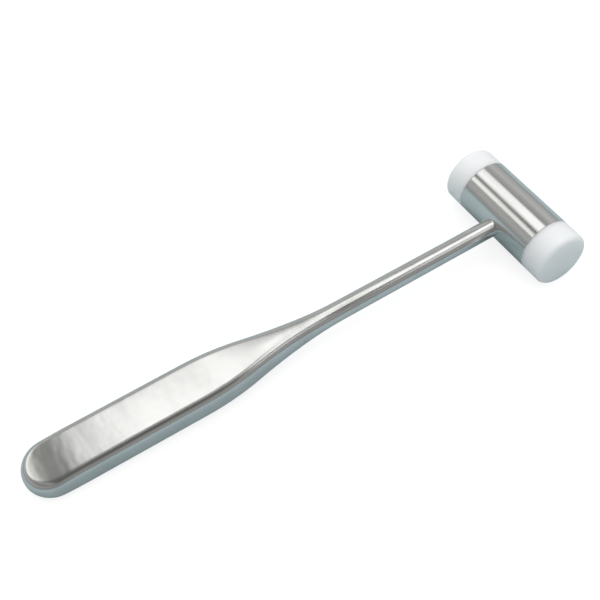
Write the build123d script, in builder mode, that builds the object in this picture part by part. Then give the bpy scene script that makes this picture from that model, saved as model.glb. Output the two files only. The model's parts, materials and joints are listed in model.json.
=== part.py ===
from build123d import *
from math import asin, atan2, cos, degrees, hypot, radians, sin, sqrt, tan
import os

# Surgical mallet: a steel handle forged in one piece, a cylindrical steel head that is screwed
# onto it crosswise, and two nylon striking caps that are screwed onto the ends of the head.
# Millimetres. The mallet lies on a table: the head on its round side, and the paddle of the
# handle on its underside near the butt. +X runs from the paddle to the head, +Y along the head's
# own axis, +Z up. The origin is on the table, below the middle of the whole mallet.

# Head, a turned bar with a threaded spigot at each end
head_diameter = 20.0
head_body_length = 32.5
head_edge_break = 0.2
spigot_diameter = 12.0
spigot_length = 6.0
spigot_chamfer = 0.8
relief_depth = 0.7
relief_width = 1.2

# Caps, two nylon cups as wide as the head
cap_length = 9.5
cap_dome = 0.95
cap_edge_radius = 1.7
cap_mouth_chamfer = 0.5
cap_thread_clearance = 0.1
cap_end_gap = 0.6

# Joint of handle and head: the rod seats on the floor of a round socket, its tenon goes deeper
socket_depth = 4.0
socket_clearance = 0.04
tenon_diameter = 5.0
tenon_length = 8.0
tenon_chamfer = 0.6
tenon_clearance = 0.05
tenon_end_gap = 0.8
drill_point_angle = 118.0

# Handle: a rod, a neck that flares as an ogee, and a flat paddle with a round butt. Its length
# is measured from the head's axis. The neck reaches the paddle's thickness before its width.
handle_length = 181.7
rod_diameter_at_head = 6.2
rod_diameter_at_neck = 6.5
width_flare_length = 55.0
width_flare_turn = 0.64
thickness_flare_length = 38.0
thickness_flare_turn = 0.4
neck_crown_turn = 24.0
neck_stations = 12
paddle_length = 56.7
paddle_width = 17.6
paddle_thickness = 9.0
paddle_edge_radius = 2.6
butt_fall_length = 18.0
butt_fall_radius = 130.0

head_radius = head_diameter / 2
spigot_radius = spigot_diameter / 2
tenon_radius = tenon_diameter / 2
rod_radius_at_head = rod_diameter_at_head / 2
rod_radius_at_neck = rod_diameter_at_neck / 2
half_width = paddle_width / 2
half_thickness = paddle_thickness / 2
neck_end = handle_length - paddle_length
neck_start = neck_end - width_flare_length
socket_floor = head_radius - socket_depth

# The mallet leans until the fall of the underside, an arc that starts at fall_start, touches the
# table that the head rests on: the arc's centre is then one arc radius above the table.
fall_start = handle_length - butt_fall_length
fall_centre = half_thickness - butt_fall_radius
lean = asin((head_radius - butt_fall_radius) / hypot(fall_start, fall_centre)) - atan2(
    fall_centre, fall_start
)

# How far the butt reaches from the head's axis along X, and half the mallet's length from that
butt_land = fall_centre + sqrt(
    (butt_fall_radius - paddle_edge_radius) ** 2 - (butt_fall_length - paddle_edge_radius) ** 2
)
butt_reach = (
    (handle_length - paddle_edge_radius) * cos(lean) + butt_land * sin(lean) + paddle_edge_radius
)
head_x = (butt_reach - head_radius) / 2

# The mallet's plane has its origin on the head's axis and its x along the handle, to the head
mallet_plane = Plane(
    origin=(head_x, 0, head_radius),
    x_dir=(cos(lean), 0, sin(lean)),
    z_dir=(-sin(lean), 0, cos(lean)),
)
side_plane = Plane(mallet_plane.origin, x_dir=mallet_plane.x_dir, z_dir=-mallet_plane.y_dir)
head_plane = Plane(mallet_plane.origin, x_dir=mallet_plane.y_dir, z_dir=mallet_plane.z_dir)
handle_axis = Axis(mallet_plane.origin, mallet_plane.x_dir)
head_axis = Axis(mallet_plane.origin, mallet_plane.y_dir)


def across_handle(distance: float) -> Plane:
    """The plane across the handle at a distance from the head's axis."""
    origin = mallet_plane.from_local_coords((-distance, 0, 0))
    return Plane(origin, x_dir=mallet_plane.y_dir, z_dir=mallet_plane.x_dir)


def ogee(distance: float, length: float, turn: float) -> float:
    """An S-curve from 0 to 1 over a length, level at both ends and steepest at turn."""
    share = min(distance / length, 1)
    if share < turn:
        return share**2 / turn
    return 1 - (1 - share) ** 2 / (1 - turn)


def neck_section(distance: float) -> Face:
    """The neck's section at a distance from its round end: four corner arcs and four crowned
    sides in tangency. A side's arc turns by crown to each side of its crest, and the section is
    a circle where its half width, its half height and its corner radius are the same."""
    flare = ogee(distance, width_flare_length, width_flare_turn)
    swell = ogee(distance, thickness_flare_length, thickness_flare_turn)
    wide = rod_radius_at_neck + flare * (half_width - rod_radius_at_neck)
    high = rod_radius_at_neck + swell * (half_thickness - rod_radius_at_neck)
    corner = rod_radius_at_neck + flare * (paddle_edge_radius - rod_radius_at_neck)
    crown = radians(neck_crown_turn) * (1 - distance / width_flare_length) ** 2
    rise, run = 1 - cos(crown), sin(crown)
    scale = run / (run**2 - rise**2)
    corner_centre = Vector(
        ((wide - corner) * run - (high - corner) * rise) * scale,
        ((high - corner) * run - (wide - corner) * rise) * scale,
    )
    corner_points = [
        corner_centre + Vector(cos(turn), sin(turn)) * corner
        for turn in (crown, radians(45), radians(90) - crown)
    ]
    side_end, top_end = corner_points[0], corner_points[-1]
    with BuildLine(across_handle(neck_start + distance)) as outline:
        for across, up in ((1, 1), (-1, 1), (-1, -1), (1, -1)):
            ThreePointArc(*((point.X * across, point.Y * up) for point in corner_points))
        for up in (1, -1):
            ThreePointArc((-top_end.X, top_end.Y * up), (0, high * up), (top_end.X, top_end.Y * up))
        for across in (1, -1):
            ThreePointArc(
                (side_end.X * across, -side_end.Y), (wide * across, 0), (side_end.X * across, side_end.Y)
            )
    return Face(outline.wire())


with BuildPart() as handle:
    # Paddle: its plan with the round butt, cut to its side view, whose faces fall near the butt
    with BuildSketch(mallet_plane):
        with Locations((half_width - handle_length, 0)):
            Circle(half_width)
        with Locations((-neck_end, 0)):
            Rectangle(paddle_length - half_width, paddle_width, align=(Align.MAX, Align.CENTER))
    extrude(amount=half_thickness, both=True)
    with BuildSketch(side_plane):
        with BuildLine():
            level = Line((-neck_end, half_thickness), (-fall_start, half_thickness))
            fall_turn = degrees(asin(butt_fall_length / butt_fall_radius))
            fall = JernArc(level @ 1, level % 1, butt_fall_radius, fall_turn)
            Line(fall @ 1, (-handle_length, 0))
            Line(level @ 0, (-neck_end, 0))
            mirror(about=Plane.XZ)
        make_face()
    extrude(amount=half_width, both=True, mode=Mode.INTERSECT)
    rim = handle.edges().filter_by(Axis.Y, reverse=True).filter_by(
        lambda edge: abs(mallet_plane.to_local_coords(edge @ 0.5).Z) > half_thickness / 2
    )
    fillet(rim, paddle_edge_radius)

    # Neck: from the rod's circle to the paddle's rounded oblong
    stations = [
        neck_section(width_flare_length * station / neck_stations) for station in range(neck_stations)
    ]
    with BuildSketch(across_handle(neck_end), mode=Mode.PRIVATE) as paddle_section:
        RectangleRounded(paddle_width, paddle_thickness, paddle_edge_radius)
    loft(stations + paddle_section.sketch.faces())

    # Rod and tenon, turned on the handle's axis
    with BuildSketch(side_plane):
        Polygon(
            (-neck_start, 0),
            (-neck_start, rod_radius_at_neck),
            (-socket_floor, rod_radius_at_head),
            (-socket_floor, tenon_radius),
            (-socket_floor + tenon_length - tenon_chamfer, tenon_radius),
            (-socket_floor + tenon_length, tenon_radius - tenon_chamfer),
            (-socket_floor + tenon_length, 0),
            align=None,
        )
    revolve(axis=handle_axis)

with BuildPart() as head:
    # Half of the turned profile, from the middle of the head to the end of a spigot
    shoulder = head_body_length / 2
    spigot_end = shoulder + spigot_length
    with BuildSketch(head_plane):
        with BuildLine():
            Polyline(
                (0, head_radius),
                (shoulder - head_edge_break, head_radius),
                (shoulder, head_radius - head_edge_break),
                (shoulder, spigot_radius - relief_depth),
                (shoulder + relief_width, spigot_radius - relief_depth),
                (shoulder + relief_width + relief_depth, spigot_radius),
                (spigot_end - spigot_chamfer, spigot_radius),
                (spigot_end, spigot_radius - spigot_chamfer),
                (spigot_end, 0),
            )
            mirror(about=Plane.YZ)
            Line((-spigot_end, 0), (spigot_end, 0))
        make_face()
    revolve(axis=head_axis)

    # Socket for the rod, and the tapped hole for the tenon with its drill point
    socket_radius = rod_radius_at_head + socket_clearance
    hole_radius = tenon_radius + tenon_clearance
    hole_end = -socket_floor + tenon_length + tenon_end_gap
    drill_point = hole_radius / tan(radians(drill_point_angle / 2))
    with BuildSketch(side_plane):
        Polygon(
            (-head_diameter, 0),
            (-head_diameter, socket_radius),
            (-socket_floor, socket_radius),
            (-socket_floor, hole_radius),
            (hole_end, hole_radius),
            (hole_end + drill_point, 0),
            align=None,
        )
    revolve(axis=handle_axis, mode=Mode.SUBTRACT)

os.makedirs("parts", exist_ok=True)
handle.part.label = "handle"
export_step(handle.part, "parts/handle.step")
head.part.label = "head"
export_step(head.part, "parts/head.step")

# Caps: the left one stands at +Y, the right one at -Y. Each seats on the head's shoulder.
bore_radius = spigot_radius + cap_thread_clearance
bore_floor = spigot_end + cap_end_gap
face_crown = shoulder + cap_length
for cap_name, side in (("cap_left", 1), ("cap_right", -1)):
    with BuildPart() as cap:
        with BuildSketch(head_plane) as profile:
            with BuildLine():
                rim_point = (side * (face_crown - cap_dome), head_radius)
                Polyline(
                    (side * face_crown, 0),
                    (side * bore_floor, 0),
                    (side * bore_floor, bore_radius),
                    (side * (shoulder + cap_mouth_chamfer), bore_radius),
                    (side * shoulder, bore_radius + cap_mouth_chamfer),
                    (side * shoulder, head_radius),
                    rim_point,
                )
                TangentArc((side * face_crown, 0), rim_point, tangent=(0, 1))
            make_face()
            fillet(profile.vertices().sort_by_distance(rim_point)[0], cap_edge_radius)
        revolve(axis=head_axis)
    cap.part.label = cap_name
    export_step(cap.part, f"parts/{cap_name}.step")
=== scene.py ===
import json
import logging
import math
from dataclasses import dataclass, field
from enum import Enum

import bmesh
import bpy
import numpy as np
from mathutils import Matrix, Vector


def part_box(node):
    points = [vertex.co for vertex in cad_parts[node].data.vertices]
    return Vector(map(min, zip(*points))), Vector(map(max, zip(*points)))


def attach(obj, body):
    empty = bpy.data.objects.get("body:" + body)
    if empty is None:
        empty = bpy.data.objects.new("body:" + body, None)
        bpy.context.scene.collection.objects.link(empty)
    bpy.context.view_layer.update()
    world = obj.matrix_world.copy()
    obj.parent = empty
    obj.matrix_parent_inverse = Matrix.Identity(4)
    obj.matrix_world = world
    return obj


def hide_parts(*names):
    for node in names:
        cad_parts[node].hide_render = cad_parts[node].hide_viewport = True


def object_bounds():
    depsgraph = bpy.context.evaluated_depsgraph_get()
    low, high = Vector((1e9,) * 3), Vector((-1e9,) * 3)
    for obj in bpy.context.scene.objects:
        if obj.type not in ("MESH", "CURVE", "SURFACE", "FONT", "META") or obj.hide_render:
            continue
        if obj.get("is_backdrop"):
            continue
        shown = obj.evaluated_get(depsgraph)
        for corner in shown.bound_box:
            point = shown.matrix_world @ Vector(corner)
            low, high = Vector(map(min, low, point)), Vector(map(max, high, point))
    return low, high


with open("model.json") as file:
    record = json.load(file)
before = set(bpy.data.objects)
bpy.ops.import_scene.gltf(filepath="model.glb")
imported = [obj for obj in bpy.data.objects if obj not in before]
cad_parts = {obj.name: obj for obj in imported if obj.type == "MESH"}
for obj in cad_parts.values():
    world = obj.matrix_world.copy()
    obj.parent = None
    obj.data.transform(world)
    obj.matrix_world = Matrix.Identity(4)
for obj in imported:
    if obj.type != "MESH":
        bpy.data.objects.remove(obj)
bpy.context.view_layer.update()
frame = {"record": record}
BODY = "root"
MM = 0.001
QUARTER_TURN = math.pi / 2
SHARP_ANGLE = math.radians(32)
MERGE_DISTANCE = 0.002 * MM
ALONG_HEAD = Matrix.Rotation(-QUARTER_TURN, 4, "X")
ALONG_HANDLE = Matrix.Rotation(QUARTER_TURN, 4, "Y")
WHITE = (1.0, 1.0, 1.0)

Triple = tuple[float, float, float]

log = logging.getLogger("mallet")


class Slot(Enum):
    """The record's material slots."""

    HANDLE = "satin_steel"
    HEAD = "turned_steel"
    CAP = "nylon"


class Side(Enum):
    """An end of the head, by its sign along the head's axis."""

    LEFT = 1
    RIGHT = -1


class Signal:
    """A number that runs through a node tree. Arithmetic on it adds Math nodes."""

    def __init__(self, sheet: "NodeSheet", socket: bpy.types.NodeSocket) -> None:
        """Keeps the tree and the socket that the number comes from."""
        self.sheet = sheet
        self.socket = socket

    def __add__(self, other: "Signal | float") -> "Signal":
        """The sum of two values."""
        return self.sheet.math("ADD", self, other)

    def __sub__(self, other: "Signal | float") -> "Signal":
        """The difference of two values."""
        return self.sheet.math("SUBTRACT", self, other)

    def __mul__(self, other: "Signal | float") -> "Signal":
        """The product of two values."""
        return self.sheet.math("MULTIPLY", self, other)

    def __truediv__(self, other: "Signal | float") -> "Signal":
        """The quotient of two values."""
        return self.sheet.math("DIVIDE", self, other)

    def __radd__(self, other: float) -> "Signal":
        """A plain number plus this value."""
        return self.sheet.math("ADD", other, self)

    def __rsub__(self, other: float) -> "Signal":
        """A plain number less this value."""
        return self.sheet.math("SUBTRACT", other, self)

    def __rmul__(self, other: float) -> "Signal":
        """A plain number times this value."""
        return self.sheet.math("MULTIPLY", other, self)

    def __rtruediv__(self, other: float) -> "Signal":
        """A plain number divided by this value."""
        return self.sheet.math("DIVIDE", other, self)

    def __neg__(self) -> "Signal":
        """This value with its sign turned."""
        return self.sheet.math("MULTIPLY", self, -1.0)


class NodeSheet:
    """One node tree, for a material, the world or a geometry rule."""

    def __init__(self, tree: bpy.types.NodeTree) -> None:
        """Keeps the tree that the nodes are added to."""
        self.tree = tree

    @classmethod
    def emptied(cls, owner: bpy.types.Material | bpy.types.World) -> "NodeSheet":
        """Clears the node tree of a material or a world.

        Args:
            owner: The material or the world.

        Returns:
            The sheet of its tree.
        """
        owner.use_nodes = True
        owner.node_tree.nodes.clear()
        return cls(owner.node_tree)

    def add(self, kind: str, settings: dict | None = None, inputs: dict | None = None) -> bpy.types.Node:
        """Adds any node.

        Args:
            kind: The node's type name.
            settings: Properties of the node, set first. A ramp's stops are pairs of place and colour.
            inputs: Values or links of its sockets, by socket name or number.

        Returns:
            The new node.
        """
        node = self.tree.nodes.new(kind)
        for name, value in (settings or {}).items():
            if name == "stops":
                self._set_stops(node.color_ramp, value)
            else:
                setattr(node, name, value)
        for name, value in (inputs or {}).items():
            self.join(value, node.inputs[name])
        return node

    def join(self, value: object, socket: bpy.types.NodeSocket) -> None:
        """Links a signal or a socket to an input, or sets the input's own value.

        Args:
            value: A signal, an output socket or a plain value. A colour has three channels.
            socket: The input.
        """
        if isinstance(value, Signal):
            value = value.socket
        if isinstance(value, bpy.types.NodeSocket):
            self.tree.links.new(value, socket)
        elif socket.type == "RGBA":
            socket.default_value = (*value, 1.0)
        else:
            socket.default_value = value

    def signal(self, kind: str, settings: dict | None = None, inputs: dict | None = None) -> Signal:
        """Adds a node and returns its first output as a signal."""
        return Signal(self, self.add(kind, settings, inputs).outputs[0])

    def math(self, operation: str, *values: "Signal | float") -> Signal:
        """Adds one Math node for an operation on up to three values."""
        return self.signal("ShaderNodeMath", {"operation": operation}, dict(enumerate(values)))

    def unit(self, value: Signal) -> Signal:
        """A value held between 0 and 1."""
        return self.math("MINIMUM", self.math("MAXIMUM", value, 0.0), 1.0)

    def axes(self, vector: bpy.types.NodeSocket) -> list[Signal]:
        """The three parts of a vector."""
        parts = self.add("ShaderNodeSeparateXYZ", inputs={0: vector})
        return [Signal(self, output) for output in parts.outputs]

    def noise(self, place: bpy.types.NodeSocket, scale: float, detail: float) -> Signal:
        """A noise pattern over a place, about 0.5 on average."""
        inputs = {"Vector": place, "Scale": scale, "Detail": detail}
        return self.signal("ShaderNodeTexNoise", inputs=inputs)

    def blend(self, share: Signal, first: Triple, second: Triple) -> bpy.types.NodeSocket:
        """A colour between two, by the second one's share from 0 to 1."""
        settings = {"data_type": "RGBA", "blend_type": "MIX"}
        return self.add("ShaderNodeMix", settings, {0: share, 6: first, 7: second}).outputs[2]

    def either(
        self, share: bpy.types.NodeSocket, first: bpy.types.Node, second: bpy.types.Node
    ) -> bpy.types.Node:
        """Mixes the shaders of two nodes, by the second one's share from 0 to 1."""
        inputs = {0: share, 1: first.outputs[0], 2: second.outputs[0]}
        return self.add("ShaderNodeMixShader", inputs=inputs)

    @staticmethod
    def _set_stops(ramp: bpy.types.ColorRamp, stops: tuple[tuple[float, Triple], ...]) -> None:
        """Gives a ramp its stops.

        Args:
            ramp: The ramp.
            stops: Pairs of place and colour, in order of place.
        """
        while len(ramp.elements) < len(stops):
            ramp.elements.new(1.0)
        for element, (place, colour) in zip(ramp.elements, stops):
            element.position = place
            element.color = (*colour, 1.0)


@dataclass(frozen=True)
class Bench:
    """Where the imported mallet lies, read from the frame. Lengths are in metres."""

    head_centre: Vector
    head_radius: float
    shoulder: float
    face_crown: float
    spigot_end: float
    half_width: float
    lean: float

    @classmethod
    def from_frame(cls) -> "Bench":
        """Reads the head, the left cap, the handle and the paddle's mount.

        Returns:
            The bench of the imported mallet.
        """
        head_low, head_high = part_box("head")
        cap_low, cap_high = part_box("cap_left")
        handle_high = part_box("handle")[1]
        mounts = {mount["name"]: mount for mount in frame["record"]["mounts"]}
        paddle_normal = mounts["paddle_top"]["axis"]
        return cls(
            head_centre=(head_low + head_high) / 2,
            head_radius=(head_high.z - head_low.z) / 2,
            shoulder=cap_low.y,
            face_crown=cap_high.y,
            spigot_end=head_high.y,
            half_width=handle_high.y,
            lean=math.atan2(-paddle_normal[0], paddle_normal[2]),
        )

    def placement(self) -> Matrix:
        """The turn and shift from the mallet's own axes to the frame."""
        return Matrix.Translation(self.head_centre) @ Matrix.Rotation(-self.lean, 4, "Y")


def close_shell(mesh: bpy.types.Mesh) -> None:
    """Merges a mesh's doubled points and turns its faces outwards.

    Args:
        mesh: The mesh, which is changed.
    """
    shell = bmesh.new()
    shell.from_mesh(mesh)
    bmesh.ops.remove_doubles(shell, verts=shell.verts, dist=MERGE_DISTANCE)
    bmesh.ops.recalc_face_normals(shell, faces=shell.faces)
    shell.to_mesh(mesh)
    shell.free()


def linked_object(name: str, data: bpy.types.ID) -> bpy.types.Object:
    """Makes an object in the scene.

    Args:
        name: Its name.
        data: The mesh, light or camera that it holds.

    Returns:
        The new object.
    """
    made = bpy.data.objects.new(name, data)
    bpy.context.scene.collection.objects.link(made)
    return made


def evaluated_mesh(holder: bpy.types.Object) -> bpy.types.Mesh:
    """Takes an object's mesh with its modifiers applied, and removes the object.

    Args:
        holder: The object with the modifiers.

    Returns:
        The new mesh.
    """
    bpy.context.view_layer.update()
    graph = bpy.context.evaluated_depsgraph_get()
    mesh = bpy.data.meshes.new_from_object(holder.evaluated_get(graph), depsgraph=graph)
    holder.modifiers.clear()
    bpy.data.objects.remove(holder)
    return mesh


def finished_piece(name: str, mesh: bpy.types.Mesh, bench: Bench) -> bpy.types.Object:
    """Closes, places and smooths a mesh, and lets it stand for its CAD node.

    Args:
        name: The CAD node's name. The piece adds the word made.
        mesh: The mesh in the mallet's own axes.
        bench: Where the mallet lies.

    Returns:
        The piece, with its object at the origin.
    """
    close_shell(mesh)
    mesh.transform(bench.placement())
    mesh.shade_smooth()
    mesh.set_sharp_from_angle(angle=SHARP_ANGLE)
    piece = linked_object(f"{name}_made", mesh)
    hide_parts(name)
    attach(piece, BODY)
    log.info("%s: %d faces", piece.name, len(mesh.polygons))
    return piece


@dataclass
class ForgedHandle:
    """The one-piece handle: tenon, rod, ogee neck and flat paddle. Lengths are in metres.

    A quarter of its skin is a grid. Its rows follow the handle from the tenon to the butt and turn
    round the butt, and its columns follow a section from the top to the side.
    """

    bench: Bench
    length: float = 181.7 * MM
    rod_radius_at_head: float = 3.1 * MM
    rod_radius_at_neck: float = 3.25 * MM
    tenon_radius: float = 2.5 * MM
    tenon_length: float = 8.0 * MM
    tenon_chamfer: float = 0.6 * MM
    socket_depth: float = 4.0 * MM
    width_flare_length: float = 55.0 * MM
    width_flare_turn: float = 0.64
    thickness_flare_length: float = 38.0 * MM
    thickness_flare_turn: float = 0.4
    crown_turn: float = math.radians(24)
    least_crown: float = 0.01
    paddle_length: float = 56.7 * MM
    half_thickness: float = 4.5 * MM
    edge_radius: float = 2.6 * MM
    fall_length: float = 18.0 * MM
    fall_radius: float = 130.0 * MM
    straight_rows: int = 230
    turning_rows: int = 24
    top_columns: int = 8
    corner_columns: int = 12
    side_columns: int = 4

    LEAD_ROWS = 4

    def build(self) -> bpy.types.Object:
        """Runs the rule.

        Returns:
            The finished handle.
        """
        tree, inputs = self._rule()
        holder = linked_object("handle_rule", bpy.data.meshes.new("handle_rule"))
        modifier = holder.modifiers.new("handle_rule", "NODES")
        modifier.node_group = tree
        for name, value in self._sizes().items():
            modifier[inputs[name]] = value
        modifier[inputs["Finish"]] = SteelFinish.for_handle(self.bench).material()
        return finished_piece("handle", evaluated_mesh(holder), self.bench)

    def _sizes(self) -> dict[str, float]:
        """Works out the rule's sizes.

        Returns:
            The sizes, by the names of the rule's inputs.
        """
        return {
            "Socket Floor": self.bench.head_radius - self.socket_depth,
            "Tenon Radius": self.tenon_radius,
            "Tenon Length": self.tenon_length,
            "Tenon Chamfer": self.tenon_chamfer,
            "Rod Radius At Head": self.rod_radius_at_head,
            "Rod Radius At Neck": self.rod_radius_at_neck,
            "Neck Start": self.length - self.paddle_length - self.width_flare_length,
            "Width Flare Length": self.width_flare_length,
            "Width Flare Turn": self.width_flare_turn,
            "Thickness Flare Length": self.thickness_flare_length,
            "Thickness Flare Turn": self.thickness_flare_turn,
            "Crown Turn": self.crown_turn,
            "Half Width": self.bench.half_width,
            "Half Thickness": self.half_thickness,
            "Edge Radius": self.edge_radius,
            "Butt Centre": self.length - self.bench.half_width,
            "Fall Start": self.length - self.fall_length,
            "Fall Radius": self.fall_radius,
        }

    def _rule(self) -> tuple[bpy.types.NodeTree, dict[str, str]]:
        """Builds the node tree.

        Returns:
            The tree, and the identifier of each named input.
        """
        tree = bpy.data.node_groups.new("forged_handle", "GeometryNodeTree")
        tree.interface.new_socket("Geometry", in_out="OUTPUT", socket_type="NodeSocketGeometry")
        kinds = {name: "NodeSocketFloat" for name in self._sizes()} | {"Finish": "NodeSocketMaterial"}
        identifiers = {
            name: tree.interface.new_socket(name, in_out="INPUT", socket_type=kind).identifier
            for name, kind in kinds.items()
        }
        sheet = NodeSheet(tree)
        entry = sheet.add("NodeGroupInput")
        size = {name: Signal(sheet, entry.outputs[name]) for name in self._sizes()}

        columns = self.top_columns + self.corner_columns + self.side_columns
        rows = self.LEAD_ROWS + self.straight_rows + self.turning_rows
        grid = sheet.add(
            "GeometryNodeMeshGrid", inputs={"Vertices X": rows + 1, "Vertices Y": columns + 1}
        )
        index = sheet.signal("GeometryNodeInputIndex")
        row = sheet.math("FLOOR", (index + 0.5) / (columns + 1.0))
        column = index - row * (columns + 1.0)
        position = self._skin_point(sheet, size, row, column)
        skin = sheet.add(
            "GeometryNodeSetPosition", inputs={"Geometry": grid.outputs["Mesh"], "Position": position}
        )
        shell = skin.outputs[0]
        for mirror in ((1.0, -1.0, 1.0), (1.0, 1.0, -1.0)):
            turned = sheet.add("GeometryNodeTransform", inputs={"Geometry": shell, "Scale": mirror})
            flipped = sheet.add("GeometryNodeFlipFaces", inputs={"Mesh": turned.outputs[0]})
            joined = sheet.add("GeometryNodeJoinGeometry")
            sheet.join(shell, joined.inputs[0])
            sheet.join(flipped.outputs[0], joined.inputs[0])
            shell = joined.outputs[0]
        merged = sheet.add(
            "GeometryNodeMergeByDistance", inputs={"Geometry": shell, "Distance": MERGE_DISTANCE}
        )
        realized = sheet.add("GeometryNodeRealizeInstances", inputs={"Geometry": merged.outputs[0]})
        dressed = sheet.add(
            "GeometryNodeSetMaterial",
            inputs={"Geometry": realized.outputs[0], "Material": entry.outputs["Finish"]},
        )
        sheet.add("NodeGroupOutput", inputs={"Geometry": dressed.outputs[0]})
        return tree, identifiers

    def _ogee(self, sheet: NodeSheet, distance: Signal, length: Signal, turn: Signal) -> Signal:
        """Draws an S-curve from 0 to 1, level at both ends.

        Args:
            sheet: The rule's node tree.
            distance: How far along the curve the point is.
            length: The curve's whole length.
            turn: The share of the length at which the curve is steepest.

        Returns:
            The curve's height.
        """
        share = sheet.unit(distance / length)
        before = sheet.math("LESS_THAN", share, turn)
        rest = 1.0 - share
        return before * (share * share / turn) + (1.0 - before) * (1.0 - rest * rest / (1.0 - turn))

    def _skin_point(
        self, sheet: NodeSheet, size: dict[str, Signal], row: Signal, column: Signal
    ) -> bpy.types.NodeSocket:
        """Places one grid point on the skin.

        Args:
            sheet: The rule's node tree.
            size: The rule's named sizes.
            row: The point's row, along the handle.
            column: The point's column, round a quarter of the section.

        Returns:
            The socket that carries the position.
        """
        along = row - float(self.LEAD_ROWS)
        straight = sheet.unit(along / float(self.straight_rows))
        turning = sheet.unit((along - float(self.straight_rows)) / float(self.turning_rows))
        turn = turning * QUARTER_TURN

        # The lead rows close the tenon's end, and make its chamfer, its side and its shoulder
        lead = (
            (size["Tenon Radius"] - size["Tenon Chamfer"]) * sheet.unit(row)
            + size["Tenon Chamfer"] * sheet.unit(row - 1.0)
            + (size["Rod Radius At Head"] - size["Tenon Radius"]) * sheet.unit(row - 3.0)
        ) / size["Rod Radius At Head"]
        distance = (
            size["Socket Floor"] - size["Tenon Length"]
            + size["Tenon Chamfer"] * sheet.unit(row - 1.0)
            + (size["Tenon Length"] - size["Tenon Chamfer"]) * sheet.unit(row - 2.0)
            + (size["Butt Centre"] - size["Socket Floor"]) * straight
        )

        rod_share = sheet.unit(
            (distance - size["Socket Floor"]) / (size["Neck Start"] - size["Socket Floor"])
        )
        rod = size["Rod Radius At Head"] + rod_share * (
            size["Rod Radius At Neck"] - size["Rod Radius At Head"]
        )
        past = distance - size["Neck Start"]
        flare = self._ogee(sheet, past, size["Width Flare Length"], size["Width Flare Turn"])
        swell = self._ogee(sheet, past, size["Thickness Flare Length"], size["Thickness Flare Turn"])
        wide = rod + flare * (size["Half Width"] - rod)
        high = rod + swell * (size["Half Thickness"] - rod)
        corner = rod + flare * (size["Edge Radius"] - rod)

        # The crowned sides and the corner arc of one quarter, by the skin's turn from the top
        left = 1.0 - sheet.unit(past / size["Width Flare Length"])
        crown = sheet.math("MAXIMUM", size["Crown Turn"] * left * left, self.least_crown)
        run = sheet.math("SINE", crown)
        level = sheet.math("COSINE", crown)
        rise = 1.0 - level
        spread = run * run - rise * rise
        top_excess = ((wide - corner) * run - (high - corner) * rise) / spread
        side_excess = ((high - corner) * run - (wide - corner) * rise) / spread
        corner_start = float(self.top_columns)
        side_start = float(self.top_columns + self.corner_columns)
        round_corner = sheet.unit((column - corner_start) / float(self.corner_columns))
        skin_turn = (
            crown * sheet.unit(column / corner_start)
            + (QUARTER_TURN - 2.0 * crown) * round_corner
            + crown * sheet.unit((column - side_start) / float(self.side_columns))
        )
        on_top = sheet.math("MINIMUM", skin_turn, crown)
        on_side = sheet.math("MAXIMUM", skin_turn, QUARTER_TURN - crown)
        across = lead * (
            corner * sheet.math("SINE", skin_turn)
            + top_excess * sheet.math("SINE", on_top)
            + side_excess * (sheet.math("SINE", on_side) - level)
        )
        height = lead * (
            corner * sheet.math("COSINE", skin_turn)
            + side_excess * sheet.math("COSINE", on_side)
            + top_excess * (sheet.math("COSINE", on_top) - level)
        )

        # Round the butt the section turns about the butt's centre, and both faces fall away
        reach = distance + across * sheet.math("SINE", turn)
        beyond = sheet.math("MAXIMUM", reach - size["Fall Start"], 0.0)
        drop = size["Fall Radius"] - sheet.math(
            "SQRT", size["Fall Radius"] * size["Fall Radius"] - beyond * beyond
        )
        land = (corner + side_excess) * run
        fallen = height - drop * sheet.math("MINIMUM", height / land, 1.0)
        point = sheet.add(
            "ShaderNodeCombineXYZ",
            inputs={"X": -reach, "Y": across * sheet.math("COSINE", turn), "Z": fallen},
        )
        return point.outputs[0]


@dataclass(frozen=True)
class Thread:
    """A fine helical thread cut into a turned surface. Lengths are in metres."""

    pitch: float = 1.0 * MM
    depth: float = 0.55 * MM
    steps_per_turn: int = 8

    def rows(self, start: float, end: float) -> list[float]:
        """Places along the axis that are close enough to show the thread."""
        count = round(abs(end - start) / self.pitch * self.steps_per_turn)
        return [start + (end - start) * step / count for step in range(1, count)]


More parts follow.
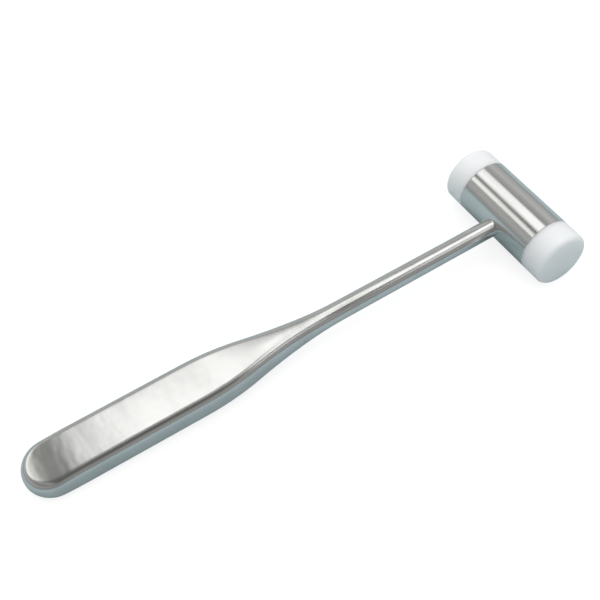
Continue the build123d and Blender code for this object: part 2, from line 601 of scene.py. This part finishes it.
@dataclass
class TurnedProfile:
    """Half of a turned piece's outline, in metres.

    Each corner is a place along the axis, a radius, and how far the thread goes in or out there.
    """

    segments: int
    thread: Thread = Thread()
    corners: list[Triple] = field(default_factory=list)

    def point(self, place: float, radius: float, depth: float = 0.0) -> None:
        """Adds one corner of the outline."""
        self.corners.append((place, radius, depth))

    def arc(
        self, centre: tuple[float, float], radius: float, start: float, end: float, steps: int
    ) -> None:
        """Adds the points of an arc.

        Args:
            centre: The place and the radius of the arc's centre.
            radius: The arc's own radius.
            start: The first angle, from the axis's positive direction.
            end: The last angle.
            steps: The number of steps between them.
        """
        for step in range(steps + 1):
            turn = start + (end - start) * step / steps
            self.point(centre[0] + radius * math.cos(turn), centre[1] + radius * math.sin(turn))

    def threaded(self, start: float, end: float, radius: float, outwards: bool) -> None:
        """Adds a threaded stretch that runs out smoothly at both ends.

        Args:
            start: The place where it starts.
            end: The place where it ends.
            radius: The radius of the plain surface.
            outwards: Whether the thread is cut away from the axis, as in a bore.
        """
        self.point(start, radius)
        sign = 1.0 if outwards else -1.0
        for place in self.thread.rows(start, end):
            from_end = min(abs(place - start), abs(end - place)) / self.thread.pitch
            self.point(place, radius, sign * self.thread.depth * min(from_end, 1.0))
        self.point(end, radius)

    def mesh(self, name: str, axis_to_local: Matrix) -> bpy.types.Mesh:
        """Turns the outline about its axis.

        Args:
            name: The mesh's name.
            axis_to_local: The turn from an outline along Z to the mallet's own axes.

        Returns:
            The mesh in the mallet's own axes. Its ends are closed where the radius is 0.
        """
        turns = np.arange(self.segments) * (2 * math.pi / self.segments)
        places, radii, depths = (values[:, None] for values in np.array(self.corners).T)
        places = places + 0.0 * turns
        phase = places / self.thread.pitch - turns / (2 * math.pi)
        groove = np.abs(2.0 * (phase - np.floor(phase)) - 1.0)
        radii = radii + depths * groove
        points = np.stack((radii * np.cos(turns), radii * np.sin(turns), places), axis=-1)
        faces = []
        for low in range(0, (len(self.corners) - 1) * self.segments, self.segments):
            high = low + self.segments
            for step in range(self.segments):
                following = (step + 1) % self.segments
                faces.append((low + step, low + following, high + following, high + step))
        mesh = bpy.data.meshes.new(name)
        mesh.from_pydata(points.reshape(-1, 3).tolist(), [], faces)
        mesh.transform(axis_to_local)
        close_shell(mesh)
        return mesh


@dataclass
class TurnedHead:
    """The turned steel head with its two threaded spigots and its socket. Lengths are in metres."""

    bench: Bench
    handle: ForgedHandle
    edge_break: float = 0.2 * MM
    spigot_radius: float = 6.0 * MM
    spigot_chamfer: float = 0.8 * MM
    relief_depth: float = 0.7 * MM
    relief_width: float = 1.2 * MM
    socket_clearance: float = 0.04 * MM
    tenon_clearance: float = 0.05 * MM
    tenon_end_gap: float = 0.8 * MM
    drill_half_angle: float = math.radians(59)
    segments: int = 192
    socket_segments: int = 96
    body_rows: int = 16

    def build(self) -> bpy.types.Object:
        """Turns the bar and bores the socket.

        Returns:
            The finished head.
        """
        bar = linked_object("head_bar", self._bar().mesh("head_bar", ALONG_HEAD))
        drill = linked_object("head_drill", self._drill().mesh("head_drill", ALONG_HANDLE))
        bore = bar.modifiers.new("socket", "BOOLEAN")
        bore.operation = "DIFFERENCE"
        bore.solver = "EXACT"
        bore.object = drill
        mesh = evaluated_mesh(bar)
        bpy.data.objects.remove(drill)
        mesh.materials.clear()
        mesh.materials.append(SteelFinish.for_head(self.bench).material())
        return finished_piece("head", mesh, self.bench)

    def _bar(self) -> TurnedProfile:
        """Draws the bar from one spigot's end to the other's.

        Returns:
            The outline of the bar.
        """
        profile = TurnedProfile(self.segments)
        relief_end = self.bench.shoulder + self.relief_width
        thread_start = relief_end + self.relief_depth
        thread_end = self.bench.spigot_end - self.spigot_chamfer
        relief_radius = self.spigot_radius - self.relief_depth
        radius = self.bench.head_radius
        body_end = self.bench.shoulder - self.edge_break

        profile.point(-self.bench.spigot_end, 0.0)
        profile.point(-self.bench.spigot_end, self.spigot_radius - self.spigot_chamfer)
        profile.threaded(-thread_end, -thread_start, self.spigot_radius, outwards=False)
        profile.point(-relief_end, relief_radius)
        profile.point(-self.bench.shoulder, relief_radius)
        profile.point(-self.bench.shoulder, radius - self.edge_break)
        for row in range(self.body_rows + 1):
            profile.point(body_end * (2.0 * row / self.body_rows - 1.0), radius)
        profile.point(self.bench.shoulder, radius - self.edge_break)
        profile.point(self.bench.shoulder, relief_radius)
        profile.point(relief_end, relief_radius)
        profile.threaded(thread_start, thread_end, self.spigot_radius, outwards=False)
        profile.point(self.bench.spigot_end, self.spigot_radius - self.spigot_chamfer)
        profile.point(self.bench.spigot_end, 0.0)
        return profile

    def _drill(self) -> TurnedProfile:
        """Draws what the socket and the tapped hole take away.

        Returns:
            The outline of the drill, from well outside the bar.
        """
        profile = TurnedProfile(self.socket_segments)
        floor = self.bench.head_radius - self.handle.socket_depth
        hole_radius = self.handle.tenon_radius + self.tenon_clearance
        hole_end = self.handle.tenon_length + self.tenon_end_gap - floor
        socket_radius = self.handle.rod_radius_at_head + self.socket_clearance
        outside = -2.0 * self.bench.head_radius
        profile.point(outside, 0.0)
        profile.point(outside, socket_radius)
        profile.point(-floor, socket_radius)
        profile.point(-floor, hole_radius)
        profile.point(hole_end, hole_radius)
        profile.point(hole_end + hole_radius / math.tan(self.drill_half_angle), 0.0)
        return profile


@dataclass
class StrikingCap:
    """A nylon cup that is screwed onto one end of the head. Lengths are in metres."""

    bench: Bench
    side: Side
    dome: float = 0.95 * MM
    rim_radius: float = 1.7 * MM
    bore_radius: float = 6.1 * MM
    mouth_chamfer: float = 0.5 * MM
    end_gap: float = 0.6 * MM
    segments: int = 160
    rim_steps: int = 12
    dome_steps: int = 14

    def build(self) -> bpy.types.Object:
        """Turns the cup.

        Returns:
            The finished cap.
        """
        turn = ALONG_HEAD if self.side is Side.LEFT else ALONG_HEAD.inverted()
        mesh = self._outline().mesh("cap", turn)
        mesh.materials.append(NylonFinish().material())
        return finished_piece(f"cap_{self.side.name.lower()}", mesh, self.bench)

    def _outline(self) -> TurnedProfile:
        """Draws the cup from the bore's floor over the mouth and the rim to the crown.

        Returns:
            The outline of the cup.
        """
        profile = TurnedProfile(self.segments)
        radius, crown = self.bench.head_radius, self.bench.face_crown
        bore_floor = self.bench.spigot_end + self.end_gap
        mouth = self.bench.shoulder + self.mouth_chamfer
        profile.point(bore_floor, 0.0)
        profile.threaded(bore_floor, mouth, self.bore_radius, outwards=True)
        profile.point(self.bench.shoulder, self.bore_radius + self.mouth_chamfer)
        profile.point(self.bench.shoulder, radius)

        # The rim's arc touches the cup's side and the dome, whose centre is on the axis
        dome_radius = (radius**2 + self.dome**2) / (2 * self.dome)
        dome_centre = crown - dome_radius
        rim_height = radius - self.rim_radius
        rim_place = dome_centre + math.sqrt((dome_radius - self.rim_radius) ** 2 - rim_height**2)
        meeting_turn = math.atan2(rim_height, rim_place - dome_centre)
        profile.arc((rim_place, rim_height), self.rim_radius, QUARTER_TURN, meeting_turn, self.rim_steps)
        profile.arc((dome_centre, 0.0), dome_radius, meeting_turn, 0.0, self.dome_steps)
        return profile


@dataclass(frozen=True)
class GroundRipples:
    """Shallow curved waves that the grinding belt left near the butt. Lengths in millimetres."""

    spacing: float = 3.3
    height: float = 0.006
    bend_radius: float = 54.0
    bend_centre: float = -12.5
    wobble: float = 3.0
    middle: float = 170.5
    reach: float = 7.0

    def relief(self, sheet: NodeSheet, along: Signal, across: Signal, waves: Signal) -> Signal:
        """Draws the ripples, which fade out on both sides of their middle.

        Args:
            sheet: The material's node tree.
            along: The place along the handle.
            across: The place across the handle.
            waves: A noise pattern that makes the ripples uneven.

        Returns:
            The ripples' height.
        """
        aside = across - self.bend_centre
        bent = along - aside * aside / (2.0 * self.bend_radius) + self.wobble * waves
        offset = (along + self.middle) / self.reach
        share = sheet.math("MAXIMUM", 1.0 - offset * offset, 0.0)
        wave = sheet.math("SINE", bent * (2.0 * math.pi / self.spacing))
        return self.height * share * wave


@dataclass(frozen=True)
class SteelFinish:
    """Polished stainless steel with fine lines, faint waves and soft stains.

    Scales are in features per metre along the mallet's own axes, and depths in millimetres. The
    waves begin wave_start millimetres from the head's centre, counted towards the butt, and come
    in over wave_fade millimetres.
    """

    name: str
    bench: Bench
    colour: Triple
    roughness: float
    line_scale: Triple
    line_depth: float
    wave_scale: Triple
    wave_depth: float
    wave_start: float
    stain_scale: Triple
    stain_colour: Triple = (0.6, 0.6, 0.585)
    ripples: GroundRipples | None = None
    fine_detail: float = 2.0
    stain_detail: float = 3.0
    wave_fade: float = 30.0
    stain_level: float = 0.45
    stain_gain: float = 1.6
    line_roughness: float = 0.05
    stain_roughness: float = 0.1

    @classmethod
    def for_handle(cls, bench: Bench) -> "SteelFinish":
        """The handle: lines along it, broad waves across it, and ripples near the butt."""
        return cls(
            name="satin_steel_handle",
            bench=bench,
            colour=(0.76, 0.76, 0.745),
            roughness=0.2,
            line_scale=(60.0, 1600.0, 1600.0),
            line_depth=0.0015,
            wave_scale=(160.0, 110.0, 110.0),
            wave_depth=0.08,
            wave_start=95.0,
            stain_scale=(110.0, 50.0, 50.0),
            ripples=GroundRipples(),
        )

    @classmethod
    def for_head(cls, bench: Bench) -> "SteelFinish":
        """The head: finer lines along its own axis, and hardly any waves, all over it."""
        return cls(
            name="turned_steel_head",
            bench=bench,
            colour=(0.74, 0.745, 0.73),
            roughness=0.19,
            line_scale=(1500.0, 45.0, 1500.0),
            line_depth=0.003,
            wave_scale=(50.0, 30.0, 50.0),
            wave_depth=0.02,
            wave_start=-50.0,
            stain_scale=(90.0, 40.0, 90.0),
        )

    def material(self) -> bpy.types.Material:
        """Builds the node material.

        Returns:
            The material.
        """
        made = bpy.data.materials.new(self.name)
        sheet = NodeSheet.emptied(made)
        own = sheet.add(
            "ShaderNodeMapping",
            {"vector_type": "TEXTURE"},
            {
                "Vector": sheet.add("ShaderNodeTexCoord").outputs["Object"],
                "Location": self.bench.head_centre,
                "Rotation": (0.0, -self.bench.lean, 0.0),
            },
        ).outputs[0]
        lines = self._stretched_noise(sheet, own, self.line_scale, self.fine_detail)
        waves = self._stretched_noise(sheet, own, self.wave_scale, self.fine_detail)
        stains = self._stretched_noise(sheet, own, self.stain_scale, self.stain_detail)
        along, across = (part / MM for part in sheet.axes(own)[:2])
        waved = sheet.unit((-along - self.wave_start) / self.wave_fade)
        height = self.line_depth * lines + self.wave_depth * waved * waves
        if self.ripples:
            height = height + self.ripples.relief(sheet, along, across, waves)

        stained = sheet.unit((stains - self.stain_level) * self.stain_gain)
        uneven = self.line_roughness * (lines - 0.5)
        blotched = self.stain_roughness * (stains - 0.5)
        bump = sheet.add("ShaderNodeBump", inputs={"Strength": 1.0, "Distance": MM, "Height": height})
        steel = sheet.add(
            "ShaderNodeBsdfPrincipled",
            inputs={
                "Base Color": sheet.blend(stained, self.colour, self.stain_colour),
                "Metallic": 1.0,
                "Roughness": self.roughness + uneven + blotched,
                "Normal": bump.outputs["Normal"],
            },
        )
        sheet.add("ShaderNodeOutputMaterial", inputs={"Surface": steel.outputs["BSDF"]})
        return made

    def _stretched_noise(
        self, sheet: NodeSheet, own: bpy.types.NodeSocket, scale: Triple, detail: float
    ) -> Signal:
        """A noise pattern that is stretched along the mallet's own axes."""
        scaled = sheet.add("ShaderNodeVectorMath", {"operation": "MULTIPLY"}, {0: own, 1: scale})
        return sheet.noise(scaled.outputs[0], 1.0, detail)


@dataclass(frozen=True)
class NylonFinish:
    """Milky white nylon, turned smooth, with a soft sheen.

    Scales are in features per metre. The grain's depth and the light's reach are in metres.
    """

    colour: Triple = (0.86, 0.875, 0.88)
    cloud_shade: float = 0.97
    cloud_scale: float = 140.0
    cloud_detail: float = 3.0
    cloud_roughness: float = 0.08
    roughness: float = 0.38
    grain_scale: float = 900.0
    grain_detail: float = 2.0
    grain_strength: float = 0.2
    grain_depth: float = 0.02 * MM
    refraction: float = 1.53
    glow_weight: float = 0.8
    glow_radius: Triple = (1.0, 0.95, 0.9)
    glow_reach: float = 3.5 * MM

    def material(self) -> bpy.types.Material:
        """Builds the node material.

        Returns:
            The material.
        """
        made = bpy.data.materials.new("nylon_cap")
        sheet = NodeSheet.emptied(made)
        place = sheet.add("ShaderNodeTexCoord").outputs["Object"]
        cloud = sheet.noise(place, self.cloud_scale, self.cloud_detail)
        grain = sheet.noise(place, self.grain_scale, self.grain_detail)
        clouded = tuple(channel * self.cloud_shade for channel in self.colour)
        bump = sheet.add(
            "ShaderNodeBump",
            inputs={"Strength": self.grain_strength, "Distance": self.grain_depth, "Height": grain},
        )
        nylon = sheet.add(
            "ShaderNodeBsdfPrincipled",
            inputs={
                "Base Color": sheet.blend(cloud, self.colour, clouded),
                "Roughness": self.roughness + self.cloud_roughness * (cloud - 0.5),
                "Normal": bump.outputs["Normal"],
                "IOR": self.refraction,
                "Subsurface Weight": self.glow_weight,
                "Subsurface Radius": self.glow_radius,
                "Subsurface Scale": self.glow_reach,
            },
        )
        sheet.add("ShaderNodeOutputMaterial", inputs={"Surface": nylon.outputs["BSDF"]})
        return made


@dataclass(frozen=True)
class Softbox:
    """A rectangular studio light, placed from the head's centre in millimetres.

    It shines away from where its back faces. Its width lies along the level direction, and its
    depth across that. By itself it hangs level and shines straight down.
    """

    name: str
    place: Triple
    width: float
    depth: float
    radiance: float
    colour: Triple = WHITE
    back: Triple = (0.0, 0.0, 1.0)
    level: Triple = (1.0, 0.0, 0.0)

    def build(self, bench: Bench) -> bpy.types.Object:
        """Hangs the light where it belongs and turns it.

        Args:
            bench: Where the mallet lies.

        Returns:
            The light.
        """
        lamp = bpy.data.lights.new(self.name, "AREA")
        lamp.shape = "RECTANGLE"
        lamp.size = self.width * MM
        lamp.size_y = self.depth * MM
        lamp.energy = self.radiance * math.pi * lamp.size * lamp.size_y
        lamp.color = self.colour
        light = linked_object(self.name, lamp)
        light.location = bench.head_centre + Vector(self.place) * MM
        back = Vector(self.back).normalized()
        depth_axis = back.cross(Vector(self.level)).normalized()
        width_axis = depth_axis.cross(back)
        turn = Matrix((width_axis, depth_axis, back)).transposed()
        light.rotation_mode = "QUATERNION"
        light.rotation_quaternion = turn.to_quaternion()
        return light


@dataclass(frozen=True)
class Table:
    """A pale matt table. The camera sees it white, and it keeps the mallet's shadow.

    The steel and the nylon see a darker table. Its colour goes from that of the front, darker as
    painted shade near and under the mallet, to that of the back, lighter as painted light, between
    two places along the frame's Y axis, in millimetres.
    """

    size: float = 8.0
    gap: float = 0.05 * MM
    # Painted shade at the front and painted light at the back of the table that the steel and the nylon
    # see
    shaded_front_colour: Triple = (0.41, 0.50, 0.53)
    lit_back_colour: Triple = (0.45, 0.54, 0.565)
    shaded_front_edge: float = -15.0
    lit_back_edge: float = 45.0
    seen_grey: float = 0.3
    seen_glow: float = 0.8

    def build(self) -> None:
        """Lays the table just below the mallet."""
        half = self.size / 2
        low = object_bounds()[0].z - self.gap
        mesh = bpy.data.meshes.new("table")
        corners = [(-half, -half, low), (half, -half, low), (half, half, low), (-half, half, low)]
        mesh.from_pydata(corners, [], [(0, 1, 2, 3)])
        mesh.materials.append(self._material())
        linked_object("table", mesh)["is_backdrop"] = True

    def _material(self) -> bpy.types.Material:
        """Builds the node material.

        Returns:
            The material.
        """
        made = bpy.data.materials.new("pale_table_painted_light")
        sheet = NodeSheet.emptied(made)
        # Painted light and shade: the mirrored table is darker towards the front, near and under the
        # mallet, and lighter towards the back
        north = sheet.axes(sheet.add("ShaderNodeTexCoord").outputs["Object"])[1] / MM
        share = sheet.unit((north - self.shaded_front_edge) / (self.lit_back_edge - self.shaded_front_edge))
        colour = sheet.blend(share, self.shaded_front_colour, self.lit_back_colour)
        mirrored = sheet.add("ShaderNodeBsdfDiffuse", inputs={"Color": colour})
        matt = sheet.add("ShaderNodeBsdfDiffuse", inputs={"Color": (self.seen_grey,) * 3})
        glow = sheet.add("ShaderNodeEmission", inputs={"Color": WHITE, "Strength": self.seen_glow})
        seen = sheet.add("ShaderNodeAddShader", inputs={0: matt.outputs[0], 1: glow.outputs[0]})
        ray = sheet.add("ShaderNodeLightPath")
        both = sheet.either(ray.outputs["Is Camera Ray"], mirrored, seen)
        sheet.add("ShaderNodeOutputMaterial", inputs={"Surface": both.outputs[0]})
        return made


@dataclass(frozen=True)
class Room:
    """A white background for the camera, and a soft grey room for the steel and the nylon.

    The colour that the steel mirrors goes by height, from 0 at the horizon to 1 straight up. A side
    is a pair of shares, of the east and the north, by which that direction is brighter.
    """

    mirrored: tuple[tuple[float, Triple], ...] = (
        (0.0, (0.37, 0.42, 0.43)),
        (0.09, (0.37, 0.385, 0.385)),
        (0.17, (0.42, 0.425, 0.42)),
        (0.33, (0.57, 0.57, 0.56)),
        (0.5, (0.5, 0.5, 0.49)),
        (0.64, (0.335, 0.335, 0.33)),
        (0.77, (0.2, 0.2, 0.195)),
        (1.0, (0.12, 0.12, 0.115)),
    )
    mirrored_strength: float = 0.78
    mirrored_gain: float = 0.22
    mirrored_side: tuple[float, float] = (0.35, 0.94)
    fill_strength: float = 0.5
    fill_rise: float = 0.5
    fill_side: tuple[float, float] = (0.08, 0.05)

    def build(self) -> None:
        """Makes the room the scene's world."""
        world = bpy.data.worlds.new("room")
        bpy.context.scene.world = world
        sheet = NodeSheet.emptied(world)
        ray = sheet.add("ShaderNodeLightPath")
        sight = sheet.add("ShaderNodeTexCoord").outputs["Generated"]
        east, north, height = sheet.axes(sight)
        walls = sheet.add("ShaderNodeValToRGB", {"stops": self.mirrored}, {0: height})
        side = self.mirrored_side[0] * east + self.mirrored_side[1] * north
        facing = self.mirrored_strength + self.mirrored_gain * side
        room = sheet.add("ShaderNodeBackground", inputs={"Color": walls.outputs[0], "Strength": facing})
        evenness = 1.0 + self.fill_side[0] * east + self.fill_side[1] * north
        soft = (self.fill_strength + self.fill_rise * height) * evenness
        fill = sheet.add("ShaderNodeBackground", inputs={"Color": WHITE, "Strength": soft})
        white = sheet.add("ShaderNodeBackground", inputs={"Color": WHITE, "Strength": 1.0})
        lit = sheet.either(ray.outputs["Is Glossy Ray"], fill, room)
        mixed = sheet.either(ray.outputs["Is Camera Ray"], lit, white)
        sheet.add("ShaderNodeOutputWorld", inputs={"Surface": mixed.outputs[0]})


@dataclass(frozen=True)
class PhotoCamera:
    """The camera at the photograph's angle and distance. It aims at a place in millimetres."""

    azimuth: float = math.radians(-30.378)
    elevation: float = math.radians(51.604)
    roll: float = math.radians(-2.467)
    distance: float = 352.96 * MM
    aim: Triple = (9.33, 15.82, 0.0)
    focal_pixels: float = 1057.9
    frame_pixels: float = 600.0
    sensor: float = 36.0
    nearest: float = 10 * MM

    def build(self) -> None:
        """Sets up the camera and makes it the scene's own."""
        data = bpy.data.cameras.new("camera")
        data.sensor_width = self.sensor
        data.lens = self.sensor * self.focal_pixels / self.frame_pixels
        data.clip_start = self.nearest
        camera = linked_object("camera", data)
        back = Vector(
            (
                math.sin(self.azimuth) * math.cos(self.elevation),
                -math.cos(self.azimuth) * math.cos(self.elevation),
                math.sin(self.elevation),
            )
        )
        camera.location = Vector(self.aim) * MM + back * self.distance
        facing = (-back).to_track_quat("-Z", "Y").to_matrix().to_4x4()
        camera.rotation_mode = "QUATERNION"
        camera.rotation_quaternion = (facing @ Matrix.Rotation(self.roll, 4, "Z")).to_quaternion()
        bpy.context.scene.camera = camera


@dataclass(frozen=True)
class Studio:
    """The table, the room, the lights and the camera."""

    bench: Bench
    softboxes: tuple[Softbox, ...] = (
        Softbox("ceiling_box", (-7, 332, 525), 364, 314, 0.65),
        Softbox("ceiling_core", (-58, 287, 524), 157, 225, 0.55),
        Softbox("ceiling_side", (86, 256, 524), 130, 162, 0.55),
        Softbox("ceiling_end", (206, 27, 525), 247, 335, 1.24),
        Softbox("ceiling_haze", (-40, 50, 525), 320, 250, 0.27),
        Softbox("left_haze", (-500, -100, 525), 240, 700, 0.2),
        Softbox("front_panel", (300, -330, 525), 230, 300, 0.75),
        Softbox("left_strip", (-440, 515, 525), 240, 470, 0.97, colour=(0.98, 1.0, 0.955)),
        Softbox(
            "right_panel",
            (351, 274, 401),
            400,
            255,
            0.17,
            back=(351, 274, 401),
            level=(-0.616, 0.788, 0.0),
        ),
    )

    def build(self) -> None:
        """Sets up all of it."""
        Table().build()
        Room().build()
        for softbox in self.softboxes:
            softbox.build(self.bench)
        PhotoCamera().build()
        bpy.context.scene.view_settings.view_transform = "Standard"


def main() -> None:
    """Builds the pieces in order, then the studio."""
    logging.basicConfig(level=logging.INFO, format="%(name)s: %(message)s")
    bench = Bench.from_frame()
    handle = ForgedHandle(bench)
    handle.build()
    TurnedHead(bench, handle).build()
    for side in Side:
        StrikingCap(bench, side).build()
    Studio(bench).build()


if __name__ == "__main__":
    main()
